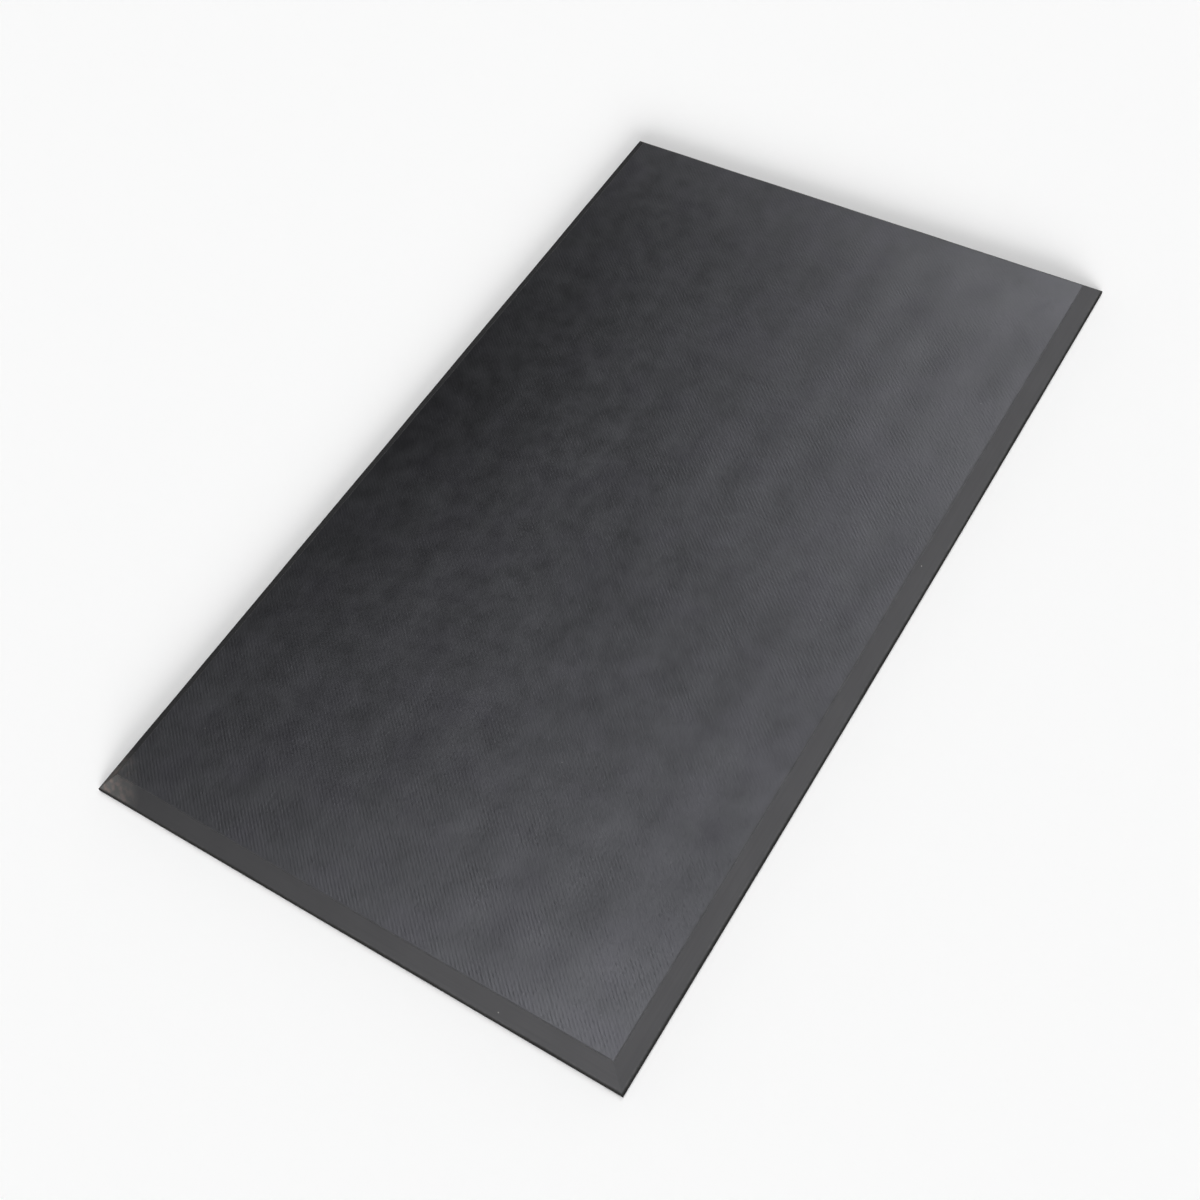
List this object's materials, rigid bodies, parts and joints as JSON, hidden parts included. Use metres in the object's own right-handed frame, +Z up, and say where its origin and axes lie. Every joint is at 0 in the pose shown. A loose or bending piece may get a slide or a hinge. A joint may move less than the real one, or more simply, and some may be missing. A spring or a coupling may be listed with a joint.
{
  "type": "anti fatigue mat",
  "caption": "Rectangular cushioned standing mat with a finely embossed top, smooth bevelled borders with mitred corners, a cellular foam core and a grippy base sheet.",
  "frame": {"origin": "centre of the underside, where the mat rests on the floor", "axes": "+X along the long side, +Y across the short side towards the back, +Z up through the standing surface"},
  "size_m": [0.762, 0.445, 0.016],
  "materials": {
    "wear_surface": "charcoal with a faint blue cast, fine diagonal emboss, low satin sheen",
    "edge_rubber": "neutral charcoal, smooth and matte",
    "core_foam": "matte closed-cell foam",
    "base_rubber": "matte black with a fine grain"
  },
  "bodies": {
    "root": {"wear_layer": "wear_surface", "cushion_core": "core_foam", "base_sheet": "base_rubber", "front_edge_strip": "edge_rubber", "back_edge_strip": "edge_rubber", "left_edge_strip": "edge_rubber", "right_edge_strip": "edge_rubber"}
  },
  "joints": []
}
